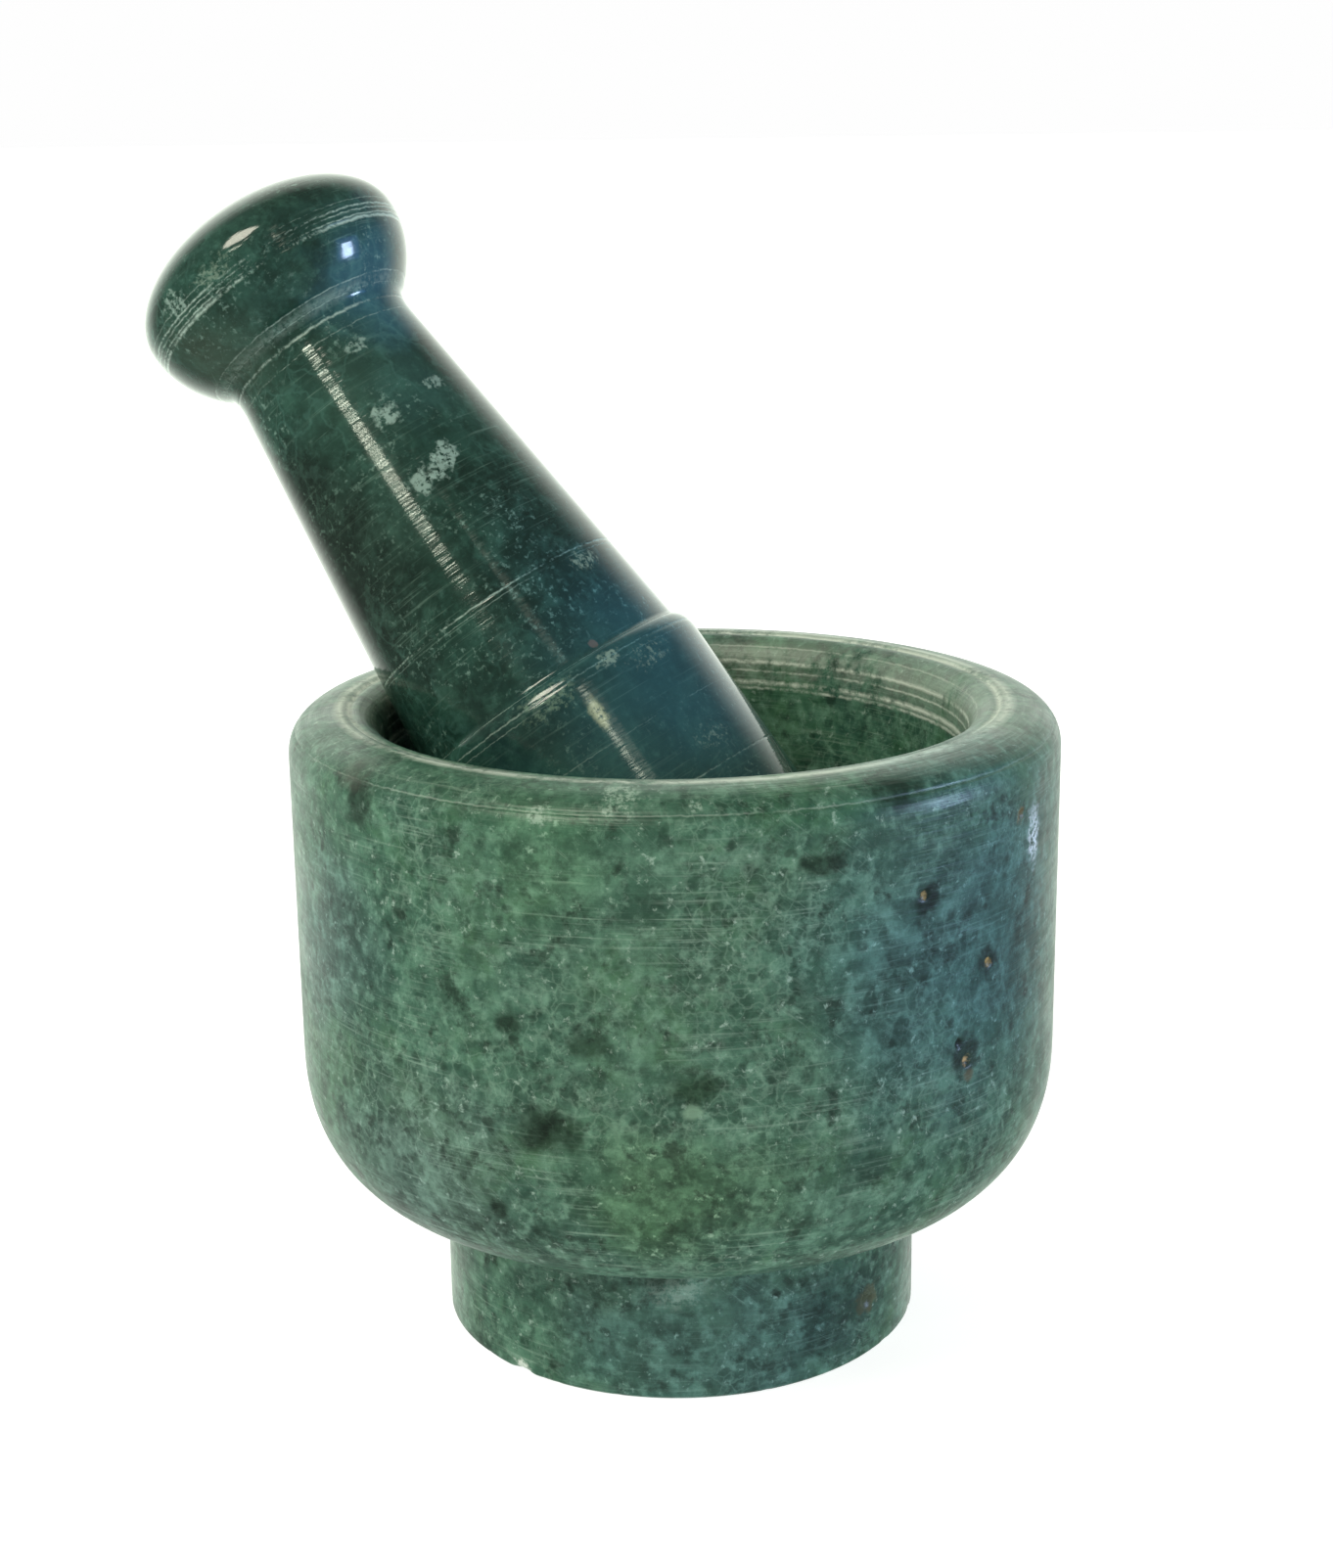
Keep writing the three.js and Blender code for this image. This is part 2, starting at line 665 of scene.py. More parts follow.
    def _strokes(
        self, tree: bpy.types.NodeTree, moved: Link, run: Link, layer: Layer
    ) -> Link:
        """Makes long lines round the piece, or short slanting scratches.

        Args:
            tree: The material's nodes.
            moved: The place on the piece, moved for this layer.
            run: The distance along the outline, in millimetres.
            layer: What to make.

        Returns:
            The noise, mostly near its middle value of 0.5.
        """
        slant, length = 0.0, TURNING_LENGTH
        if layer.figure is Figure.HATCH:
            slant, length = SCRATCH_SLANT, SCRATCH_LENGTH
        place = add_node(tree, "ShaderNodeSeparateXYZ", {}, {"Vector": moved}).outputs
        tilted = add_node(
            tree,
            "ShaderNodeMath",
            {"operation": "MULTIPLY_ADD"},
            {0: place["X"], 1: slant, 2: run},
        ).outputs[0]
        unrolled = add_node(
            tree,
            "ShaderNodeCombineXYZ",
            {},
            {"X": place["X"], "Y": place["Y"], "Z": tilted},
        ).outputs[0]
        stretched = add_node(
            tree,
            "ShaderNodeVectorMath",
            {"operation": "MULTIPLY"},
            {0: unrolled, 1: (1 / length, 1 / length, 0.5 / layer.size)},
        ).outputs[0]
        return add_node(
            tree,
            "ShaderNodeTexNoise",
            {},
            {"Vector": stretched, "Scale": 1.0, "Detail": 3.0, "Roughness": 0.7},
        ).outputs["Fac"]

    def _spot(self, tree: bpy.types.NodeTree, where: Link, centre: Vector, spot: Spot) -> Link:
        """Makes the mask of one mark.

        Args:
            tree: The material's nodes.
            where: The place on the piece in its own frame, in millimetres.
            centre: The mark's middle in the same frame.
            spot: The mark.

        Returns:
            A value from 0 to 1.
        """
        away = add_node(
            tree, "ShaderNodeVectorMath", {"operation": "SUBTRACT"}, {0: where, 1: centre}
        ).outputs[0]
        shaped = add_node(
            tree,
            "ShaderNodeVectorMath",
            {"operation": "MULTIPLY"},
            {0: away, 1: (1 / spot.squat, 1 / spot.squat, 1.0)},
        ).outputs[0]
        far = add_node(
            tree, "ShaderNodeVectorMath", {"operation": "LENGTH"}, {0: shaped}
        ).outputs["Value"]
        wander = add_node(
            tree,
            "ShaderNodeTexNoise",
            {},
            {"Vector": where, "Scale": PATCH_SPAN / spot.grain, "Detail": 4.0},
        ).outputs["Fac"]
        # The noise keeps near 0.5, so half of this span is what it adds on average.
        span = spot.ragged * 4
        edge = add_node(
            tree,
            "ShaderNodeMath",
            {"operation": "MULTIPLY_ADD"},
            {0: wander, 1: span, 2: far},
        ).outputs[0]
        mask = add_node(
            tree,
            "ShaderNodeMapRange",
            {"interpolation_type": "SMOOTHSTEP"},
            {
                "Value": edge,
                "From Min": spot.size + span / 2,
                "From Max": spot.size * (1 - spot.soft) + span / 2,
            },
        ).outputs["Result"]
        if not spot.gaps:
            return mask
        specks = add_node(
            tree,
            "ShaderNodeTexNoise",
            {},
            {"Vector": where, "Scale": SPECK_SCALE, "Detail": 3.0, "Roughness": 0.7},
        ).outputs["Fac"]
        kept = add_node(
            tree,
            "ShaderNodeMapRange",
            {},
            {
                "Value": specks,
                "From Min": SPECK_FROM + SPECK_MOVE * spot.gaps,
                "From Max": SPECK_FULL + SPECK_MOVE * spot.gaps,
            },
        ).outputs["Result"]
        return add_node(
            tree, "ShaderNodeMath", {"operation": "MULTIPLY"}, {0: mask, 1: kept}
        ).outputs[0]

    def _ring_wear_and_highlight_mask(self, tree: bpy.types.NodeTree, where: Link, run: Link, section: Outline) -> Link:
        """Makes the mask of the rings, both those worn by rubbing and those painted as highlights,
        broken into beads and gaps.

        Args:
            tree: The material's nodes.
            where: The place on the piece in its own frame, in millimetres.
            run: The distance along the outline, in millimetres.
            section: The outline that the piece is spun from.

        Returns:
            A value from 0 to 1.
        """
        wander = add_node(
            tree,
            "ShaderNodeTexNoise",
            {},
            {"Vector": where, "Scale": WANDER_SCALE, "Detail": 4.0},
        ).outputs["Fac"]
        ragged = add_node(
            tree,
            "ShaderNodeMath",
            {"operation": "MULTIPLY_ADD"},
            {0: wander, 1: RING_WANDER, 2: run},
        ).outputs[0]
        ragged = add_node(
            tree, "ShaderNodeMath", {"operation": "SUBTRACT"}, {0: ragged, 1: RING_WANDER / 2}
        ).outputs[0]
        white: Link | float = 0.0
        for ring in self.rings:
            middle = section.run_at(ring.height, ring.inside) + ring.inwards
            gap = add_node(
                tree, "ShaderNodeMath", {"operation": "SUBTRACT"}, {0: ragged, 1: middle}
            ).outputs[0]
            gap = add_node(tree, "ShaderNodeMath", {"operation": "ABSOLUTE"}, {0: gap}).outputs[0]
            line = add_node(
                tree,
                "ShaderNodeMapRange",
                {},
                {
                    "Value": gap,
                    "From Max": ring.half_width,
                    "To Min": ring.strength,
                    "To Max": 0.0,
                },
            ).outputs["Result"]
            white = add_node(
                tree, "ShaderNodeMath", {"operation": "MAXIMUM"}, {0: white, 1: line}
            ).outputs[0]
        beads = add_node(
            tree,
            "ShaderNodeTexNoise",
            {},
            {
                "Vector": where,
                "Scale": PATCH_SPAN / self.coarse_mm,
                "Detail": 4.0,
                "Roughness": 0.7,
            },
        ).outputs["Fac"]
        stretches = add_node(
            tree,
            "ShaderNodeTexNoise",
            {},
            {"Vector": where, "Scale": STRETCH_SCALE, "Detail": 2.0},
        ).outputs["Fac"]
        both = add_node(
            tree,
            "ShaderNodeMath",
            {"operation": "MULTIPLY_ADD"},
            {0: stretches, 1: STRETCH_SHARE, 2: beads},
        ).outputs[0]
        kept = add_node(
            tree,
            "ShaderNodeMapRange",
            {},
            {
                "Value": both,
                "From Min": BEAD_FROM + BEAD_MOVE * self.ring_break,
                "From Max": BEAD_FULL + BEAD_MOVE * self.ring_break,
            },
        ).outputs["Result"]
        return add_node(
            tree, "ShaderNodeMath", {"operation": "MULTIPLY"}, {0: white, 1: kept}
        ).outputs[0]

    def _laid(
        self,
        tree: bpy.types.NodeTree,
        below: Link | tuple[float, ...],
        tint: str,
        mask: Link,
        strength: float,
        lay: Lay,
    ) -> Link:
        """Lays a tint on what is below, where a mask shows it.

        Args:
            tree: The material's nodes.
            below: The colour so far.
            tint: The colour to lay.
            mask: Where it shows.
            strength: How much of it shows at most.
            lay: How it lies.

        Returns:
            The new colour.
        """
        amount = add_node(
            tree, "ShaderNodeMath", {"operation": "MULTIPLY"}, {0: mask, 1: strength}
        ).outputs[0]
        return add_node(
            tree,
            "ShaderNodeMix",
            {"data_type": "RGBA", "blend_type": lay.value},
            {FACTOR: amount, COLOUR_A: below, COLOUR_B: linear(tint)},
        ).outputs[COLOUR_MIXED]


# --- Turned pieces ----------------------------------------------------------------------


@dataclass
class TurnedPiece:
    """A piece made on a lathe from one block of stone.

    Attributes:
        body: The body that it moves with. The CAD node that it stands for has the same name.
        slot: The name of its stone's material slot; it is not used.
        segments: How many flats it has round its axis.
        sectors: How many like sectors it is spun in, which is quicker than one by one.
        pitch: Distance between points of its outline.
        fine_pitch: The same inside a groove.
        skin: How far the surface keeps inside the CAD solid's facets.
    """

    body: StoneBody
    slot: StoneSlot
    segments: int
    pitch: float
    sectors: int = 16
    fine_pitch: float = 0.12
    skin: float = 0.04

    def outline(self) -> Outline:
        """Gives the piece's outline, which each piece draws for itself."""
        raise NotImplementedError

    def grooves(self) -> tuple[Groove, ...]:
        """Gives the grooves cut round the piece."""
        return ()

    def place(self) -> Matrix:
        """Gives where the piece's own frame stands, in metres."""
        return Matrix.Identity(4)

    def wear(self, bm: bmesh.types.BMesh) -> None:
        """Wears the finished form, in its own frame, in millimetres."""

    def section(self) -> Outline:
        """Gives the outline as it is spun, evened and grooved."""
        even = self.outline().evened(self.pitch, (), self.pitch)
        section = even.evened(self.pitch, self.grooves(), self.fine_pitch)
        section.cut(self.grooves())
        return section

    def on_surface(self, turn: float, height: float) -> Vector:
        """Finds a point on the outside.

        Args:
            turn: Degrees round the piece's own axis.
            height: The height along it.

        Returns:
            The point in the piece's own frame, in millimetres.
        """
        radius, angle = self.outline().radius_at(height), math.radians(turn)
        return Vector((radius * math.cos(angle), radius * math.sin(angle), height))

    def turned(self) -> bpy.types.Object:
        """Spins the outline into a closed mesh, and puts it in its place.

        Returns:
            The new object, at the origin with its place in its mesh.
        """
        section = self.section()
        bm = bmesh.new()
        layer = bm.verts.layers.float.new(RUN)
        chain = []
        for spot, run in zip(section.points, section.runs()):
            vert = bm.verts.new((spot.x, 0, spot.y))
            vert[layer] = run
            chain.append(vert)
        edges = [bm.edges.new(pair) for pair in zip(chain, chain[1:])]
        axis = {"cent": (0, 0, 0), "axis": (0, 0, 1)}
        bmesh.ops.spin(
            bm,
            geom=chain + edges,
            angle=FULL_TURN / self.sectors,
            steps=self.segments // self.sectors,
            **axis,
        )
        # Copies of the first sector go all the way round. The merge joins them, closes both
        # poles and drops the last copy, which lands on the first sector.
        bmesh.ops.spin(
            bm,
            geom=bm.verts[:] + bm.edges[:] + bm.faces[:],
            angle=FULL_TURN,
            steps=self.sectors,
            use_duplicate=True,
            **axis,
        )
        bmesh.ops.remove_doubles(bm, verts=bm.verts, dist=WELD)
        self.wear(bm)
        bmesh.ops.recalc_face_normals(bm, faces=bm.faces)
        bmesh.ops.transform(bm, matrix=self.place() @ Matrix.Scale(MM, 4), verts=bm.verts)
        for face in bm.faces:
            face.smooth = True
        mesh = bpy.data.meshes.new(self.body.value + "_stone")
        bm.to_mesh(mesh)
        bm.free()
        piece = bpy.data.objects.new(self.body.value + "_stone", mesh)
        bpy.context.scene.collection.objects.link(piece)
        return piece

    def built(self, finish: MarbleFinish) -> bpy.types.Object:
        """Builds the piece, dresses it and puts it on its body.

        Args:
            finish: What its surface is.

        Returns:
            The finished object.
        """
        piece = self.turned()
        piece.data.materials.append(finish.made(self.place(), self.on_surface, self.section()))
        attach(piece, self.body.value)
        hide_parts(self.body.value)
        return piece


@dataclass(frozen=True)
class Pit:
    """A small hole where a rusty grain fell out of the stone.

    Attributes:
        turn: Degrees round the piece.
        height: Height on the piece.
        radius: Half its width.
        depth: How deep it is.
    """

    turn: float
    height: float
    radius: float
    depth: float


@dataclass(frozen=True)
class Chip:
    """A flake lost from an edge.

    Attributes:
        turn: Degrees round the piece.
        reach: Half its width.
        depth: How deep it is at its middle.
    """

    turn: float
    reach: float
    depth: float


@dataclass
class Mortar(TurnedPiece):
    """A straight-sided bowl with a round bottom inside, on a narrower foot.

    Attributes:
        height: From the floor it stands on to the top of its lip.
        radius: Of its wall.
        foot_radius: Of its foot.
        foot_height: Up to where the rounded corner begins.
        foot_edge: The small bevel round the foot.
        corner_height: Of the rounded corner under the wall.
        corner_fullness: How square that corner is.
        shoulder_width: From the lip's highest line out to the wall.
        shoulder_drop: From the same line down to the wall.
        shoulder_fullness: How square the shoulder is.
        lip_radius: Of the lip's inner edge.
        wall: How thick the wall is at the bowl's round bottom.
        floor: How thick the stone is under the bowl.
        ring: The line turned on the shoulder.
        arris_width: Of the rubbed strip inside the lip's highest line.
        arris_drop: How far that strip is rubbed down.
        chips: How many small chips the foot has lost.
        nicks: How many the lip has lost.
        chip_reaches: The least and most that half of a chip's width comes to, on the foot.
        nick_reaches: The same on the lip.
        chip_depths: The least and most that a chip goes in.
        plain_chip: The one chip on the foot that is easy to see.
        foot_band: How far from the foot's edge its chips go.
        lip_band: How far from the lip's highest line its chips go.
        chip_seed: Where the random draws for the chips begin.
        pits: Where grains fell out.
        pit_cuts: How many times the mesh is cut finer round a pit.
        pit_floor: The least and most of its depth that a pit's rough floor reaches.
    """

    body: StoneBody = StoneBody.MORTAR
    slot: StoneSlot = StoneSlot.MORTAR
    segments: int = 256
    pitch: float = 0.85
    skin: float = 0.0
    height: float = 84.2
    radius: float = 50.0
    foot_radius: float = 31.8
    foot_height: float = 19.6
    foot_edge: float = 0.5
    corner_height: float = 20.0
    corner_fullness: float = 2.35
    shoulder_width: float = 7.5
    shoulder_drop: float = 5.6
    shoulder_fullness: float = 2.4
    lip_radius: float = 4.4
    wall: float = 14.5
    floor: float = 24.0
    ring: Groove = Groove(81.8, 0.22, 0.10)
    arris_width: float = 1.1
    arris_drop: float = 0.3
    chips: int = 42
    nicks: int = 60
    chip_reaches: tuple[float, float] = (0.3, 1.4)
    nick_reaches: tuple[float, float] = (0.4, 1.4)
    chip_depths: tuple[float, float] = (0.05, 0.22)
    plain_chip: Chip = Chip(-131.0, 1.8, 0.35)
    foot_band: float = 2.4
    lip_band: float = 1.2
    chip_seed: int = 11
    pit_cuts: int = 3
    pit_floor: tuple[float, float] = (0.75, 1.0)
    pits: tuple[Pit, ...] = (
        Pit(-34.0, 75.5, 0.7, 0.3),
        Pit(-55.2, 69.6, 0.8, 0.3),
        Pit(-42.0, 58.7, 0.8, 0.35),
        Pit(-46.4, 47.2, 1.0, 0.45),
        Pit(-48.1, 49.8, 0.8, 0.4),
        Pit(-41.1, 8.1, 1.2, 0.35),
        Pit(24.0, 30.5, 1.2, 0.6),
        Pit(121.0, 66.0, 1.1, 0.6),
        Pit(158.0, 44.0, 1.5, 0.7),
    )

    def crest(self) -> float:
        """Gives the radius of the lip's highest line."""
        return self.radius - self.shoulder_width

    def outline(self) -> Outline:
        """Gives the section from the middle of the foot, over the lip, to the bowl's floor."""
        bowl = self.radius - self.wall
        bowl_height = self.floor + bowl
        lip = Vector((self.crest(), self.height - self.lip_radius))
        span = lip - Vector((0, bowl_height))
        draft = math.acos((bowl + self.lip_radius) / span.length) - math.atan2(span.y, span.x)
        corner = (self.foot_radius, self.foot_height + self.corner_height)
        shoulder = (self.crest(), self.height - self.shoulder_drop)
        outside = [
            Vector((0, 0)),
            Vector((self.foot_radius - self.foot_edge, 0)),
            Vector((self.foot_radius, self.foot_edge)),
            *full_corner(
                corner,
                self.radius - self.foot_radius,
                self.corner_height,
                self.corner_fullness,
                -QUARTER,
                0,
                steps=40,
            ),
            *full_corner(
                shoulder,
                self.shoulder_width,
                self.shoulder_drop,
                self.shoulder_fullness,
                0,
                QUARTER,
                steps=24,
            ),
        ]
        inside = [
            *arc(tuple(lip), self.lip_radius, QUARTER, math.pi - draft, steps=14),
            *arc((0, bowl_height), bowl, -draft, -QUARTER, steps=60),
        ]
        for spot in inside:
            share = (self.crest() - spot.x) / self.arris_width
            if 0 < share < 1:
                # A hollow that is deepest halfway across the strip.
                spot.y -= self.arris_drop * 4 * share * (1 - share)
        return Outline(outside + inside[1:], len(outside))

    def grooves(self) -> tuple[Groove, ...]:
        """Gives the line that is turned on the shoulder."""
        return (self.ring,)

    def wear(self, bm: bmesh.types.BMesh) -> None:
        """Sinks the pits, and chips the edges of the foot and the lip.

        Args:
            bm: The mesh in millimetres.
        """
        for pit in self.pits:
            self._sink(bm, pit)
        rng = random.Random(self.chip_seed)
        foot = self._scattered(rng, self.chips, self.chip_reaches) + [self.plain_chip]
        lip = self._scattered(rng, self.nicks, self.nick_reaches)
        low = Vector((self.foot_radius, 0.0))
        high = Vector((self.crest(), self.height))
        for chips, edge, band in ((foot, low, self.foot_band), (lip, high, self.lip_band)):
            rows = [
                v for v in bm.verts if (Vector((v.co.xy.length, v.co.z)) - edge).length < band
            ]
            for chip in chips:
                self._chip(rows, edge, band, chip)

    def _scattered(
        self, rng: random.Random, count: int, reaches: tuple[float, float]
    ) -> list[Chip]:
        """Scatters chips round an edge.

        Args:
            rng: Where the random draws come from.
            count: How many to make.
            reaches: The least and most that half of a chip's width comes to.

        Returns:
            The chips.
        """
        return [
            Chip(rng.uniform(0, 360), rng.uniform(*reaches), rng.uniform(*self.chip_depths))
            for _ in range(count)
        ]

    def _chip(
        self, rows: list[bmesh.types.BMVert], edge: Vector, band: float, chip: Chip
    ) -> None:
        """Takes one chip off an edge.

        Args:
            rows: The vertices near the edge.
            edge: Radius and height of the edge.
            band: How far from the edge a chip may go.
            chip: The chip.
        """
        angle = math.radians(chip.turn)
        middle = Vector((edge.x * math.cos(angle), edge.x * math.sin(angle), edge.y))
        heart = Vector((0, 0, self.height / 2))
        for vert in rows:
            near = 1 - (vert.co - middle).length / min(chip.reach, band)
            if near > 0:
                vert.co += (heart - vert.co).normalized() * chip.depth * near * (2 - near)

    def _sink(self, bm: bmesh.types.BMesh, pit: Pit) -> None:
        """Sinks one pit, in a finer patch of mesh.

        Args:
            bm: The mesh.
            pit: The pit.
        """
        middle = self.on_surface(pit.turn, pit.height)
        reach = pit.radius * 2 + self.pitch
        around = {v for v in bm.verts if (v.co - middle).length < reach}
        patch = [e for e in bm.edges if e.verts[0] in around and e.verts[1] in around]
        bmesh.ops.subdivide_edges(bm, edges=patch, cuts=self.pit_cuts, use_grid_fill=True)
        inward = Vector((-middle.x, -middle.y, 0)).normalized()
        rng = random.Random(int(pit.height * 10))
        for vert in bm.verts:
            near = 1 - (vert.co - middle).length / pit.radius
            if near > 0:
                rough = rng.uniform(*self.pit_floor)
                vert.co += inward * pit.depth * min(1.0, near * 2) * rough


@dataclass
class Pestle(TurnedPiece):
    """A club with a long round head, a tapered shaft and a domed knob.

    It stands in the bowl with its round head on the floor and its shaft on the lip. Heights are
    along its own axis, from the middle of the head's round end.

    Attributes:
        head_radius: Of the head and its round end.
        head_length: Up to the step where the shaft begins.
        step_width: How far the step stands out.
        step_round: How far down the head the step is rounded.
        shaft_end: The shaft's radius at the step.
        shaft_length: From the step to the neck.
        neck_radius: Of the neck, where the shaft ends.
        neck_blend: How far down the shaft the neck's hollow begins.
        knob_radius: Of the knob where it is widest.
        knob_dome: From there to its top.
        knob_under: The height of its lower half, if it were whole.
        head_centre: Where the middle of the round end lies in the frame.
        lean: Degrees from upright.
        lean_azimuth: Degrees round from the frame's X axis to where it leans.
    """

    body: StoneBody = StoneBody.PESTLE
    slot: StoneSlot = StoneSlot.PESTLE
    segments: int = 224
    pitch: float = 0.62
    head_radius: float = 22.0
    head_length: float = 41.7
    step_width: float = 1.6
    step_round: float = 3.2
    shaft_end: float = 19.4
    shaft_length: float = 56.1
    neck_radius: float = 12.8
    neck_blend: float = 3.0
    knob_radius: float = 18.9
    knob_dome: float = 10.0
    knob_under: float = 15.0
    head_centre: Vector = field(default_factory=lambda: Vector((6.569, -6.533, 50.097)))
    lean: float = 37.309
    lean_azimuth: float = 154.0

    def outline(self) -> Outline:
        """Gives the section from the tip of the head up to the top of the knob."""
        neck = self.head_length + self.shaft_length
        knob = neck + self.knob_under * math.sqrt(1 - (self.neck_radius / self.knob_radius) ** 2)
        knob_start = -math.acos(self.neck_radius / self.knob_radius)
        run = Vector((self.neck_radius - self.shaft_end, self.shaft_length)).normalized()
        corner = Vector((self.neck_radius, neck))
        start = corner - run * self.neck_blend
        under = full_corner(
            (0, knob), self.knob_radius, self.knob_under, 2, knob_start, 0, steps=22
        )
        bend = []
        for i in range(BEND_STEPS + 1):
            t = i / BEND_STEPS
            bend.append(start.lerp(corner, t).lerp(corner.lerp(under[2], t), t))
        points = [
            *arc((0, 0), self.head_radius, -QUARTER, 0, steps=40),
            *full_corner(
                (self.shaft_end, self.head_length - self.step_round),
                self.step_width,
                self.step_round,
                2,
                0,
                QUARTER,
                steps=10,
            ),
            *bend,
            *under[3:],
            *full_corner(
                (0, knob), self.knob_radius, self.knob_dome, 2, 0, QUARTER, steps=30
            )[1:],
        ]
        slim = [Vector((max(p.x - self.skin, 0), p.y)) for p in points]
        slim[0].y += self.skin
        slim[-1].y -= self.skin
        return Outline(slim, len(slim))

    def grooves(self) -> tuple[Groove, ...]:
        """Gives the tool marks cut round the knob, the neck, the shaft and the shoulder."""
        return (
            Groove(105.7, 0.25, 0.05),
            Groove(106.6, 0.20, 0.04),
            Groove(107.2, 0.20, 0.04),
            Groove(99.6, 0.20, 0.03),
            Groove(96.9, 0.25, 0.04),
            Groove(54.6, 0.20, 0.03),
            Groove(39.9, 0.20, 0.04),
            Groove(21.2, 0.20, 0.03),
        )

    def place(self) -> Matrix:
        """Gives where the pestle leans in the bowl, in metres."""
        turn = Matrix.Rotation(math.radians(self.lean_azimuth), 4, "Z")
        tip = Matrix.Rotation(math.radians(self.lean), 4, "Y")
        return Matrix.Translation(self.head_centre * MM) @ turn @ tip


# --- Finishes ---------------------------------------------------------------------------

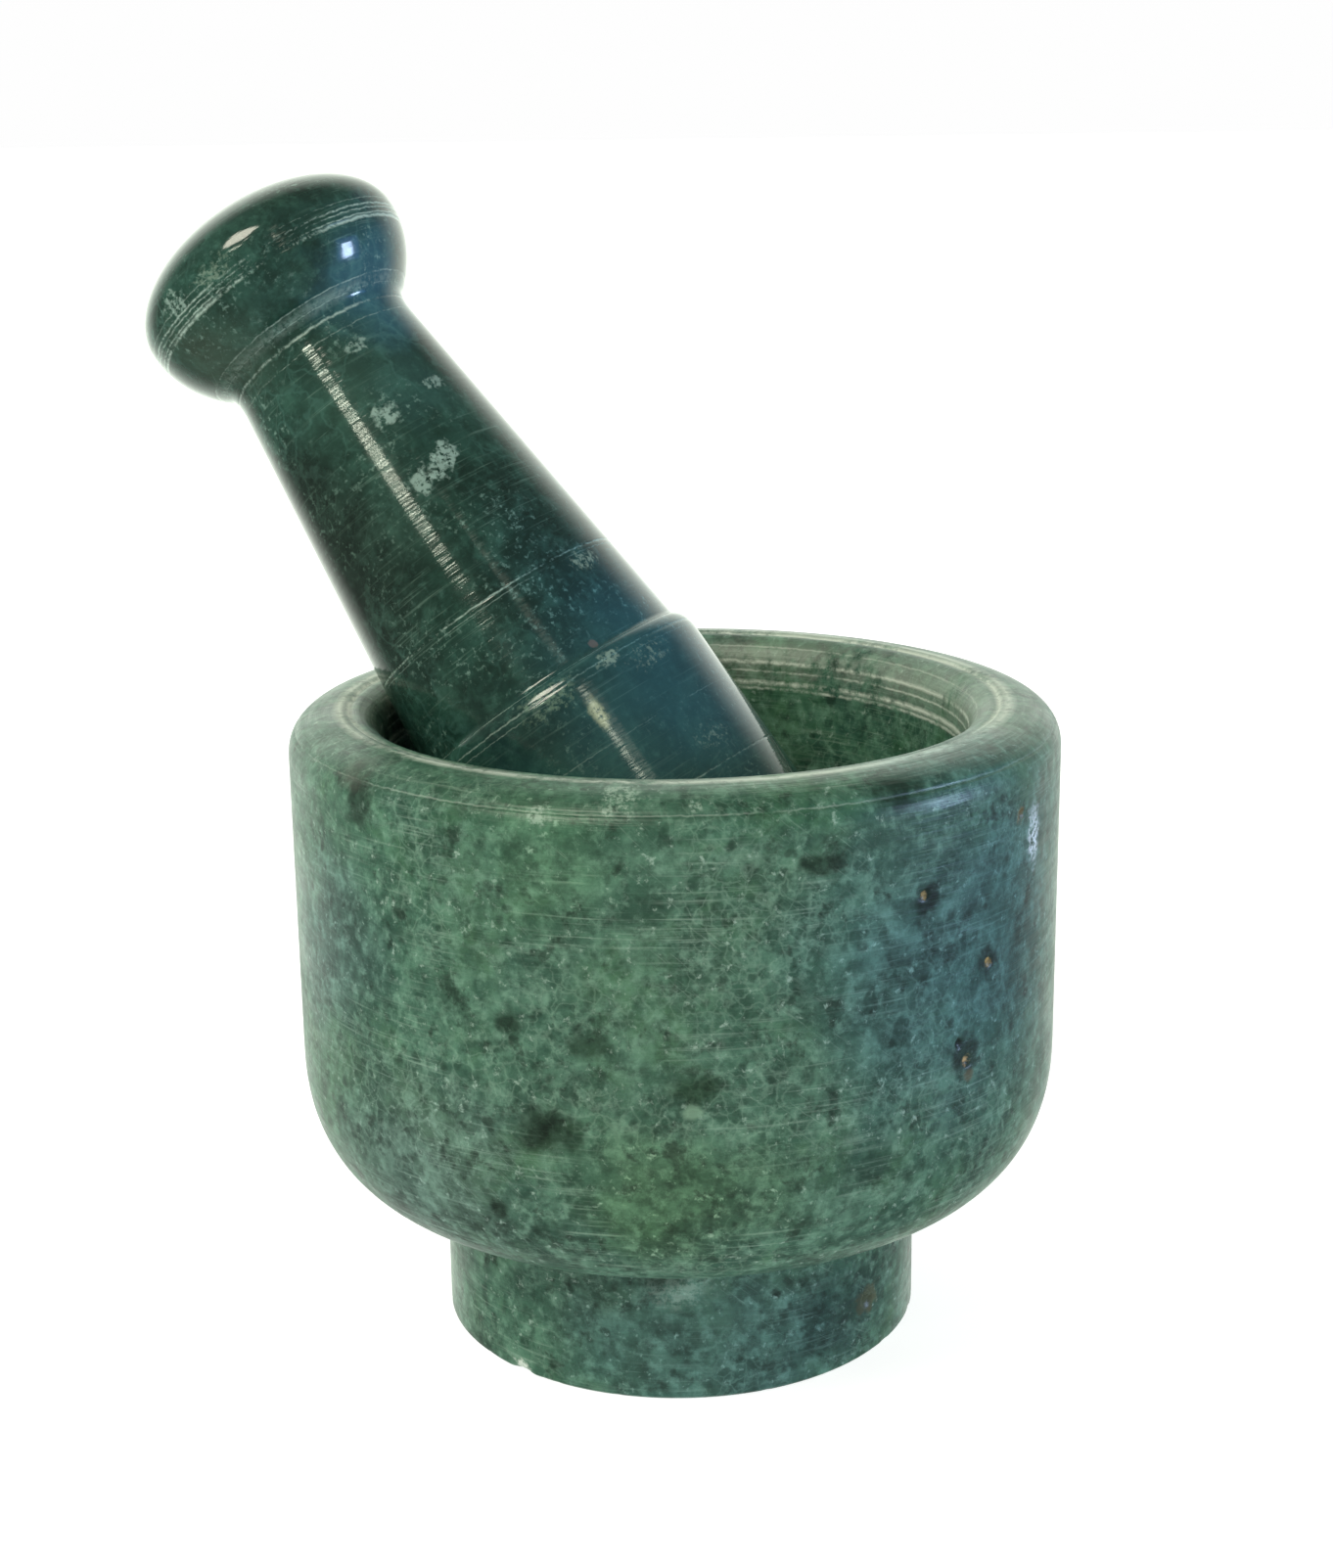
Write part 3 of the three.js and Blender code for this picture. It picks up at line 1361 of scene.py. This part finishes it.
# Honed green marble: sawn, turned and finished by rubbing with grit, then left unpolished. To the
# eye it is a satin mid green with cloudy patches, dark grains and pale rub marks, and no sharp
# reflection. Some light is painted into its colour: a glint, and a blue-teal sheen and shade on the
# wall's right, a reflection of the floor low on its left, and highlights on the lip and inside the
# bowl.
# Grit leaves lines under 0.1 mm apart, too fine to show, so they are drawn 0.2 to 0.5 mm apart.
HONED_GREEN_MARBLE = MarbleFinish(
    name="honed_green_marble",
    ground="#3b6853",
    layers=(
        Layer(Figure.CLOUD, 16.0, "#2a5346", 0.42, 0.60, 0.65, seed=1.0),
        Layer(Figure.CLOUD, 11.0, "#4d7d55", 0.46, 0.64, 0.60, seed=2.0),
        Layer(Figure.CLOUD, 5.0, "#1f4134", 0.46, 0.66, 0.65, seed=4.0),
        Layer(Figure.CLOUD, 2.6, "#6b9c82", 0.42, 0.70, 0.56, seed=5.0),
        Layer(Figure.GRAIN, 1.4, "#183529", 0.58, 0.86, 0.65, seed=6.0, patchy=7.0),
        Layer(Figure.CLOUD, 1.3, "#1c3f31", 0.42, 0.70, 0.66, seed=13.0),
        Layer(Figure.CLOUD, 1.1, "#7eab93", 0.46, 0.72, 0.52, seed=14.0),
        Layer(Figure.WEB, 2.2, "#8fb39c", 0.90, 1.00, 0.22, seed=7.0, patchy=10.0),
        Layer(Figure.CLOUD, 2.4, "#122a1f", 0.56, 0.68, 0.70, seed=8.0),
        Layer(Figure.CLOUD, 0.7, "#b4cfc0", 0.58, 0.72, 0.55, seed=10.0),
        Layer(Figure.TURNING, 0.22, "#9bb8a6", 0.50, 0.74, 0.40, seed=11.0, patchy=8.0),
        Layer(Figure.HATCH, 0.24, "#9bb8a6", 0.58, 0.76, 0.36, seed=12.0, patchy=14.0),
    ),
    spots=(
        # Painted sheen and shade: a broad blue-teal tint and a darkening over the wall's front
        # right, standing in for the cool light from the right.
        Spot(-44.0, 62.0, 32.0, "#376670", 0.62, ragged=5.0, grain=9.0, lay=Lay.RECOLOUR),
        Spot(-44.0, 62.0, 26.0, "#8fa8ac", 0.35, ragged=5.0, grain=7.0, soft=0.9, lay=Lay.DEEPEN),
        Spot(-150.0, 60.0, 18.0, "#5b7a7c", 0.50, ragged=4.0, grain=9.0, lay=Lay.RECOLOUR),
        Spot(-107.0, 77.0, 12.0, "#4f8a58", 0.25, ragged=3.0, grain=6.0, lay=Lay.RECOLOUR),
        Spot(-88.9, 36.0, 12.0, "#5d8f5c", 0.50, squat=1.6, ragged=3.0, grain=6.0, lay=Lay.RECOLOUR),
        Spot(-108.0, 43.7, 4.0, "#496c5e", 0.85, squat=1.5, ragged=0.9, soft=0.7, lay=Lay.DEEPEN),
        Spot(-113.2, 56.1, 2.0, "#4c7260", 0.80, squat=1.2, ragged=0.7, lay=Lay.DEEPEN),
        Spot(-102.3, 54.5, 2.2, "#5c7c6a", 0.75, squat=1.6, ragged=0.8, lay=Lay.DEEPEN),
        Spot(-88.1, 49.4, 3.2, "#55865f", 0.75, squat=1.4, ragged=1.0, lay=Lay.DEEPEN),
        Spot(-88.2, 46.6, 1.2, "#86ac90", 0.65, squat=1.2, ragged=0.5),
        Spot(-116.1, 32.4, 2.2, "#4c7260", 0.80, squat=0.8, ragged=0.7, lay=Lay.DEEPEN),
        Spot(-71.5, 75.4, 2.2, "#4c7260", 0.80, squat=1.4, ragged=0.7, soft=0.7, lay=Lay.DEEPEN),
        Spot(-138.9, 79.6, 4.6, "#4a6c62", 0.85, squat=0.8, ragged=1.6, lay=Lay.DEEPEN),
        Spot(-142.0, 82.6, 3.0, "#4b4440", 0.45, squat=1.4, ragged=1.0),
        Spot(-58.5, 82.4, 4.4, "#4a6c62", 0.85, squat=1.3, ragged=1.4, lay=Lay.DEEPEN),
        Spot(
            -98.0, 83.4, 2.6, "#a9c4b2", 0.75, squat=1.3, ragged=1.1, grain=0.8, soft=0.6, gaps=0.6
        ),
        Spot(-87.6, 82.6, 1.0, "#a9c4b2", 0.65, ragged=0.5, grain=0.6, soft=0.6, gaps=0.5),
        Spot(
            -108.8, 81.4, 1.4, "#a9c4b2", 0.60, squat=1.6, ragged=0.6, grain=0.6, soft=0.6, gaps=0.5
        ),
        # Painted glint: a pale bluish-white scratched patch on the wall's right edge, standing in
        # for a cool window's reflection.
        Spot(-29.5, 72.0, 5.0, "#cfe0f0", 1.00, squat=0.5, ragged=1.2, grain=0.7, gaps=0.5),
        Spot(-34.0, 75.5, 1.3, "#6f6040", 0.75, ragged=0.5, grain=0.6, soft=0.6),
        Spot(-54.6, 69.2, 2.6, "#3d4b49", 0.80, ragged=0.8, grain=1.0, soft=0.6, lay=Lay.DEEPEN),
        Spot(-55.2, 69.6, 0.7, "#a08c60", 0.85, ragged=0.3, grain=0.5, soft=0.6),
        Spot(-42.2, 59.3, 2.4, "#3d4b49", 0.75, ragged=0.8, grain=1.0, soft=0.6, lay=Lay.DEEPEN),
        Spot(-42.0, 58.7, 0.7, "#b39a62", 0.85, ragged=0.3, grain=0.5, soft=0.6),
        Spot(-46.8, 48.2, 3.4, "#4a5557", 0.75, ragged=0.9, grain=1.2, soft=0.6, lay=Lay.DEEPEN),
        Spot(-46.4, 47.2, 0.9, "#c8a878", 0.90, ragged=0.4, grain=0.5, soft=0.6),
        Spot(-46.0, 45.4, 1.2, "#6d5a40", 0.45, ragged=0.4, grain=0.8, soft=0.6),
        Spot(-48.1, 49.8, 1.2, "#101c1a", 0.85, squat=0.6, ragged=0.5, grain=0.8, soft=0.6),
        Spot(-41.1, 8.1, 2.2, "#5f5a34", 0.75, squat=1.3, ragged=0.9, grain=0.8, soft=0.6),
        Spot(24.0, 30.5, 1.8, "#6f6040", 0.70, ragged=0.6, grain=0.9, soft=0.6),
        Spot(121.0, 66.0, 1.6, "#8f7b4e", 0.70, ragged=0.6, grain=0.9, soft=0.6),
        Spot(158.0, 44.0, 3.2, "#4a5557", 0.75, ragged=0.9, grain=1.2, soft=0.6, lay=Lay.DEEPEN),
        Spot(158.0, 44.0, 1.0, "#b39a62", 0.85, ragged=0.4, grain=0.7, soft=0.6),
        Spot(70.0, 50.0, 20.0, "#3f6a64", 0.50, ragged=5.0, grain=9.0, lay=Lay.RECOLOUR),
        # Painted reflection: a grey cast low on the wall's left, standing in for the pale floor
        # mirrored there.
        Spot(-130.0, 33.0, 22.0, "#5f7672", 0.55, ragged=5.0, grain=7.0, lay=Lay.RECOLOUR),
        Spot(-80.0, 6.0, 18.0, "#3f6c6e", 0.50, squat=1.6, ragged=4.0, grain=5.0, lay=Lay.RECOLOUR),
        Spot(-52.0, 8.0, 9.0, "#7f9aa4", 0.60, ragged=3.0, grain=4.0, lay=Lay.DEEPEN),
        Spot(-91.0, 15.4, 3.4, "#a9c4b8", 0.40, squat=1.7, ragged=1.2, grain=0.8, gaps=0.4),
        Spot(-96.0, 17.0, 3.0, "#4c6a60", 0.75, squat=1.5, ragged=1.0, lay=Lay.DEEPEN),
        Spot(
            -131.0, 0.9, 1.2, "#dfe8de", 0.80, squat=1.4, ragged=0.5, grain=0.5, soft=0.6, gaps=0.4
        ),
    ),
    rings=(
        Ring(81.8, 0.16, 0.22),
        # Partly wear, partly painted highlight: a crisp pale line along the lip's inner edge, where
        # light catches the worn arris.
        Ring(84.19, 0.80, 1.00, inwards=1.2),
        Ring(84.19, 1.10, 0.85),
        # Inside the bowl these scored lines are partly real tool marks and partly painted
        # highlights, made pale where they would catch light in the dim hollow.
        Ring(82.6, 0.30, 0.50, inside=True),
        Ring(80.9, 0.55, 0.95, inside=True),
        Ring(79.4, 0.30, 0.85, inside=True),
        Ring(78.1, 0.60, 1.00, inside=True),
        Ring(76.8, 0.35, 0.80, inside=True),
        # A broad faint pale band over the upper inside wall: painted light that brightens the dim
        # hollow, and partly wear from the pestle.
        Ring(81.0, 5.00, 0.30, inside=True),
    ),
    bruise_and_highlight="#e4efe2",
    ring_break=0.18,
    roughness=(0.30, 0.56),
    ior=1.56,
    bump_mm=0.05,
    turning_mm=0.5,
    coarse_mm=0.9,
)

# Polished green marble: the same stone, finished by rubbing with ever finer grit and a felt wheel.
# To the eye it is deep and dark, with sharp reflections, and only the tool's lines and bruises are
# pale, besides a painted highlight at the step. A blue-teal sheen on its right side is painted into
# its colour too.
# Its fine lines are drawn coarser than they are too, 0.2 to 0.5 mm apart.
POLISHED_GREEN_MARBLE = MarbleFinish(
    name="polished_green_marble",
    ground="#24433b",
    layers=(
        Layer(Figure.CLOUD, 15.0, "#133026", 0.42, 0.60, 0.60, seed=21.0),
        Layer(Figure.CLOUD, 8.0, "#31584c", 0.44, 0.66, 0.60, seed=22.0),
        Layer(Figure.CLOUD, 4.2, "#10231c", 0.42, 0.66, 0.62, seed=23.0),
        Layer(Figure.CLOUD, 2.2, "#436e60", 0.46, 0.72, 0.48, seed=24.0),
        Layer(Figure.CLOUD, 1.2, "#10291f", 0.44, 0.70, 0.42, seed=29.0),
        Layer(Figure.WEB, 6.0, "#5a8a80", 0.94, 1.00, 0.20, seed=25.0, patchy=12.0),
        Layer(Figure.CLOUD, 0.9, "#507c70", 0.50, 0.74, 0.38, seed=30.0),
        Layer(Figure.CLOUD, 0.5, "#8fb3a6", 0.54, 0.70, 0.60, seed=26.0, patchy=7.0),
        Layer(Figure.TURNING, 0.24, "#86a898", 0.55, 0.72, 0.28, seed=27.0, patchy=12.0),
        Layer(Figure.HATCH, 0.22, "#8fb0a2", 0.58, 0.76, 0.28, seed=28.0, patchy=16.0),
    ),
    spots=(
        # Painted sheen: these five spots tint and lighten the right side of the head and knob
        # blue-teal, standing in for the cool window light from the right and its halo round the
        # knob's glint.
        Spot(172.0, 30.0, 27.0, "#3b6b7a", 0.26, ragged=5.0, grain=4.0, soft=0.9),
        Spot(150.0, 28.0, 28.0, "#1b3a40", 0.95, ragged=6.0, grain=5.0, soft=0.9, lay=Lay.LIGHTEN),
        Spot(175.0, 46.0, 12.0, "#142e3a", 0.80, ragged=4.0, grain=3.0, soft=0.9, lay=Lay.LIGHTEN),
        Spot(180.0, 44.0, 28.0, "#265765", 0.60, ragged=4.0, grain=8.0, lay=Lay.RECOLOUR),
        Spot(168.0, 99.0, 12.0, "#2b5268", 0.90, ragged=2.5, grain=4.0, lay=Lay.LIGHTEN),
        Spot(57.0, 70.0, 22.0, "#3c4a42", 0.50, ragged=4.0, grain=8.0, lay=Lay.RECOLOUR),
        Spot(58.0, 72.0, 22.0, "#7c8e86", 0.70, ragged=4.0, grain=8.0, lay=Lay.DEEPEN),
        Spot(75.0, 101.0, 11.0, "#4c5a4c", 0.45, ragged=2.0, grain=4.0, soft=0.9),
        Spot(120.0, 88.0, 11.0, "#4a6e60", 0.22, ragged=2.5, grain=3.0, soft=0.9),
        Spot(150.0, 84.0, 9.0, "#44706c", 0.25, ragged=2.5, grain=2.0, soft=0.9),
        Spot(129.6, 82.0, 2.0, "#a3bfb4", 0.75, ragged=1.0, grain=0.6, soft=0.5, gaps=0.35),
        Spot(126.0, 71.8, 1.9, "#a3bfb4", 0.70, ragged=1.0, grain=0.6, soft=0.5, gaps=0.35),
        Spot(135.4, 72.3, 2.0, "#a3bfb4", 0.70, ragged=1.0, grain=0.6, soft=0.5, gaps=0.35),
        Spot(144.0, 73.8, 1.9, "#a3bfb4", 0.75, ragged=1.0, grain=0.6, soft=0.5, gaps=0.35),
        Spot(
            139.2, 92.0, 1.2, "#a3bfb4", 0.60, squat=1.6, ragged=0.6, grain=0.5, soft=0.5, gaps=0.45
        ),
        Spot(
            164.3, 82.9, 1.2, "#a3bfb4", 0.60, squat=1.6, ragged=0.6, grain=0.5, soft=0.5, gaps=0.45
        ),
        Spot(
            145.1, 39.8, 1.2, "#a3bfb4", 0.60, squat=1.8, ragged=0.5, grain=0.5, soft=0.5, gaps=0.45
        ),
        Spot(
            167.7, 52.7, 1.6, "#a3bfb4", 0.55, squat=1.8, ragged=0.9, grain=0.4, soft=0.6, gaps=0.6
        ),
        Spot(160.0, 37.6, 2.2, "#a3bfb4", 0.40, squat=1.8, ragged=1.2, grain=0.3, gaps=0.8),
        Spot(162.7, 24.6, 2.2, "#a3bfb4", 0.36, squat=1.6, ragged=1.2, grain=0.3, gaps=0.8),
        # Painted highlight: a cream-green oval with ragged edges at the step, standing in for a
        # lamp's reflection there.
        Spot(
            130.8, 34.6, 3.0, "#c6d0ae", 0.85, squat=0.42, ragged=0.5, grain=0.4, soft=0.7, gaps=0.3
        ),
        Spot(
            102.0, 108.6, 1.8, "#a4bca8", 0.36, squat=1.6, ragged=1.0, grain=0.4, soft=0.6, gaps=0.6
        ),
        Spot(145.2, 42.5, 0.7, "#6f6a6c", 0.75, ragged=0.2, grain=0.6, soft=0.4),
        Spot(
            119.1, 39.2, 2.4, "#8fae98", 0.55, squat=1.8, ragged=1.2, grain=0.6, soft=0.6, gaps=0.6
        ),
        Spot(80.4, 109.0, 2.2, "#a3bfb4", 0.55, ragged=1.3, grain=0.5, soft=0.5, gaps=0.6),
        Spot(300.0, 60.0, 2.6, "#a3bfb4", 0.55, ragged=1.2, grain=0.7, soft=0.5, gaps=0.45),
        Spot(10.0, 85.0, 2.2, "#a3bfb4", 0.55, ragged=1.0, grain=0.7, soft=0.5, gaps=0.45),
    ),
    rings=(
        Ring(105.7, 0.32, 1.00),
        Ring(106.2, 0.16, 0.85),
        Ring(106.8, 0.14, 0.80),
        Ring(107.4, 0.18, 0.95),
        Ring(108.0, 0.10, 0.45),
        Ring(99.6, 0.16, 0.60),
        Ring(98.6, 0.14, 0.60),
        Ring(98.9, 1.40, 0.28),
        Ring(96.9, 0.26, 0.85),
        Ring(94.6, 0.12, 0.50),
        Ring(54.6, 0.18, 0.85),
        Ring(53.9, 0.10, 0.40),
        Ring(41.5, 0.14, 0.60),
        Ring(39.9, 0.16, 0.70),
        Ring(38.9, 0.10, 0.45),
        Ring(30.5, 0.12, 0.35),
        Ring(21.2, 0.14, 0.60),
    ),
    bruise_and_highlight="#b8d0c4",
    ring_break=0.38,
    roughness=(0.07, 0.18),
    ior=1.56,
    bump_mm=0.013,
    turning_mm=0.5,
    coarse_mm=0.4,
)


# --- The studio -------------------------------------------------------------------------


@dataclass(frozen=True)
class Lamp:
    """A flat lamp that faces the object.

    Attributes:
        name: The lamp's name.
        azimuth: Degrees from the camera's side, towards the right.
        elevation: Degrees above the horizon.
        size: Width and height in metres.
        roll: Degrees that it is turned on its own axis.
        radiance: How bright its face is, where 1 is white.
        tint: Its colour.
        gloss: Whether polished stone reflects it, or it only lights.
    """

    name: str
    azimuth: float
    elevation: float
    size: tuple[float, float]
    roll: float
    radiance: float
    tint: str
    gloss: bool = True


@dataclass
class Studio:
    """The pale floor, the light and the camera.

    Attributes:
        camera_place: Where the camera stands, in millimetres.
        camera_down: Degrees that it looks down.
        camera_roll: Degrees that it is turned on its own axis.
        lens: Its focal length, in millimetres.
        sensor: Its sensor's longer side, in millimetres.
        clip_start: The nearest that it sees, in metres.
        floor_side: The board's width, in metres.
        floor_drop: How far the board lies under the foot, in millimetres.
        board_shades: The board's two nearly equal whites.
        board_grain: How many patches of them there are to a metre.
        board_roughness: How matt the board is.
        board_specular: How little it mirrors.
        board_glow: How brightly it is lit from below.
        reach: How far away the lamps hang, in metres.
        aim: Where they point, in millimetres.
        front_glow: How bright the room is away from its brightest side.
        back_glow: How bright it is there.
        brightest: The way to its brightest side.
        glow_span: How far round to face that side, where the glow begins and where it is full.
        back_tint: The room's colour as light.
        seen_tint: The room's colour as the camera sees it.
        lamps: The lamps. Narrow ones are for sharp reflections on polished stone.
    """

    camera_place: Vector = field(default_factory=lambda: Vector((-1.138, -313.427, 156.825)))
    camera_down: float = 15.086
    camera_roll: float = -0.773
    lens: float = 56.64
    sensor: float = 36.0
    clip_start: float = 0.01
    floor_side: float = 40.0
    floor_drop: float = 0.02
    board_shades: tuple[str, str] = ("#bcbcba", "#c2c2c0")
    board_grain: float = 12.0
    board_roughness: float = 0.8
    board_specular: float = 0.1
    board_glow: float = 0.86
    reach: float = 2.5
    aim: Vector = field(default_factory=lambda: Vector((-10, 0, 75)))
    front_glow: float = 0.18
    back_glow: float = 1.80
    brightest: tuple[float, float, float] = (-0.06, 1.0, 0.0)
    glow_span: tuple[float, float] = (0.36, 0.96)
    back_tint: str = "#eef6ea"
    seen_tint: str = "#fefefe"
    lamps: tuple[Lamp, ...] = (
        Lamp("warm_bar", -29.0, 33.0, (0.46, 0.04), 42.0, 50.0, "#f4fae2"),
        Lamp("warm_high", -42.0, 50.0, (1.00, 0.75), 15.0, 11.0, "#fffae6"),
        Lamp("warm_dim", 8.0, 47.7, (0.34, 0.10), 0.0, 1.6, "#f4fae2"),
        Lamp("warm_right", 14.8, 35.4, (0.22, 0.08), 0.0, 9.0, "#f4fae2"),
        Lamp("warm_right_tail", 19.8, 36.2, (0.42, 0.10), 12.0, 2.0, "#f4fae2"),
        Lamp("cool_window", 81.0, 6.4, (0.42, 0.50), 0.0, 24.0, "#c4dcff"),
        Lamp("cool_side", 82.0, 8.0, (0.95, 0.85), 0.0, 1.6, "#6aa8ff"),
        Lamp("left_fill", -100.0, 22.0, (1.50, 1.20), 0.0, 3.6, "#fbfaf0", gloss=False),
    )

    def set_up(self) -> None:
        """Builds the whole studio."""
        self._floor()
        self._sky()
        for lamp in self.lamps:
            self._lamp(lamp)
        self._camera()
        bpy.context.scene.view_settings.view_transform = "Standard"
        log.info("studio: %d lamps, floor and camera", len(self.lamps))

    def _floor(self) -> None:
        """Lays a smooth white board that is lit from below, just under the foot."""
        bm = bmesh.new()
        bmesh.ops.create_grid(bm, x_segments=2, y_segments=2, size=self.floor_side / 2)
        bmesh.ops.translate(bm, verts=bm.verts, vec=(0, 0, -self.floor_drop * MM))
        mesh = bpy.data.meshes.new("floor")
        bm.to_mesh(mesh)
        bm.free()
        floor = bpy.data.objects.new("floor", mesh)
        bpy.context.scene.collection.objects.link(floor)
        material = bpy.data.materials.new("backlit_white_board")
        material.use_nodes = True
        tree = material.node_tree
        tree.nodes.clear()
        grain = add_node(
            tree, "ShaderNodeTexNoise", {}, {"Scale": self.board_grain, "Detail": 3.0}
        ).outputs["Fac"]
        darker, lighter = (linear(shade) for shade in self.board_shades)
        paint = add_node(
            tree,
            "ShaderNodeMix",
            {"data_type": "RGBA"},
            {FACTOR: grain, COLOUR_A: darker, COLOUR_B: lighter},
        ).outputs[COLOUR_MIXED]
        shader = add_node(
            tree,
            "ShaderNodeBsdfPrincipled",
            {},
            {
                "Base Color": paint,
                "Roughness": self.board_roughness,
                "Specular IOR Level": self.board_specular,
                "Emission Color": linear("#ffffff"),
                "Emission Strength": self.board_glow,
            },
        )
        add_node(tree, "ShaderNodeOutputMaterial", {}, {"Surface": shader.outputs["BSDF"]})
        mesh.materials.append(material)
        floor.visible_glossy = False

    def _sky(self) -> None:
        """Surrounds the object with a pale room, brightest behind it, and seen as white."""
        world = bpy.data.worlds.new("room")
        world.use_nodes = True
        tree = world.node_tree
        tree.nodes.clear()
        facing = add_node(
            tree,
            "ShaderNodeVectorMath",
            {"operation": "DOT_PRODUCT"},
            {0: add_node(tree, "ShaderNodeTexCoord").outputs["Generated"], 1: self.brightest},
        ).outputs["Value"]
        begins, full = self.glow_span
        glow = add_node(
            tree,
            "ShaderNodeMapRange",
            {"interpolation_type": "SMOOTHSTEP"},
            {
                "Value": facing,
                "From Min": begins,
                "From Max": full,
                "To Min": self.front_glow,
                "To Max": self.back_glow,
            },
        ).outputs["Result"]
        seen = add_node(tree, "ShaderNodeLightPath").outputs["Is Camera Ray"]
        level = add_node(
            tree,
            "ShaderNodeMix",
            {"data_type": "FLOAT"},
            {FACTOR: seen, VALUE_A: glow, VALUE_B: 1.0},
        ).outputs[VALUE_MIXED]
        tint = add_node(
            tree,
            "ShaderNodeMix",
            {"data_type": "RGBA"},
            {FACTOR: seen, COLOUR_A: linear(self.back_tint), COLOUR_B: linear(self.seen_tint)},
        ).outputs[COLOUR_MIXED]
        room = add_node(tree, "ShaderNodeBackground", {}, {"Color": tint, "Strength": level})
        add_node(tree, "ShaderNodeOutputWorld", {}, {"Surface": room.outputs["Background"]})
        bpy.context.scene.world = world

    def _lamp(self, lamp: Lamp) -> None:
        """Hangs one lamp.

        Args:
            lamp: Its place, size and light.
        """
        azimuth, elevation = math.radians(lamp.azimuth), math.radians(lamp.elevation)
        away = Vector(
            (
                math.sin(azimuth) * math.cos(elevation),
                -math.cos(azimuth) * math.cos(elevation),
                math.sin(elevation),
            )
        )
        light = bpy.data.lights.new(lamp.name, "AREA")
        light.shape = "RECTANGLE"
        light.size, light.size_y = lamp.size
        light.energy = lamp.radiance * math.pi * lamp.size[0] * lamp.size[1]
        light.color = linear(lamp.tint)[:3]
        holder = bpy.data.objects.new(lamp.name, light)
        turn = away.to_track_quat("Z", "Y").to_matrix().to_4x4()
        spin = Matrix.Rotation(math.radians(lamp.roll), 4, "Z")
        holder.matrix_world = Matrix.Translation(self.aim * MM + away * self.reach) @ turn @ spin
        holder.visible_camera = False
        holder.visible_glossy = lamp.gloss
        bpy.context.scene.collection.objects.link(holder)

    def _camera(self) -> None:
        """Stands the camera in front, looking down a little into the bowl."""
        camera = bpy.data.cameras.new("camera")
        camera.sensor_width = self.sensor
        camera.lens = self.lens
        camera.clip_start = self.clip_start
        holder = bpy.data.objects.new("camera", camera)
        tilt = Matrix.Rotation(QUARTER - math.radians(self.camera_down), 4, "X")
        roll = Matrix.Rotation(math.radians(self.camera_roll), 4, "Z")
        holder.matrix_world = Matrix.Translation(self.camera_place * MM) @ tilt @ roll
        bpy.context.scene.collection.objects.link(holder)
        bpy.context.scene.camera = holder


def main() -> None:
    """Builds the studio and both pieces in order, and reports each."""
    logging.basicConfig(level=logging.INFO, format="%(name)s: %(message)s")
    Studio().set_up()
    for piece, finish in ((Mortar(), HONED_GREEN_MARBLE), (Pestle(), POLISHED_GREEN_MARBLE)):
        made = piece.built(finish)
        log.info("%s: %d faces, in %s", made.name, len(made.data.polygons), finish.name)


if __name__ == "__main__":
    main()
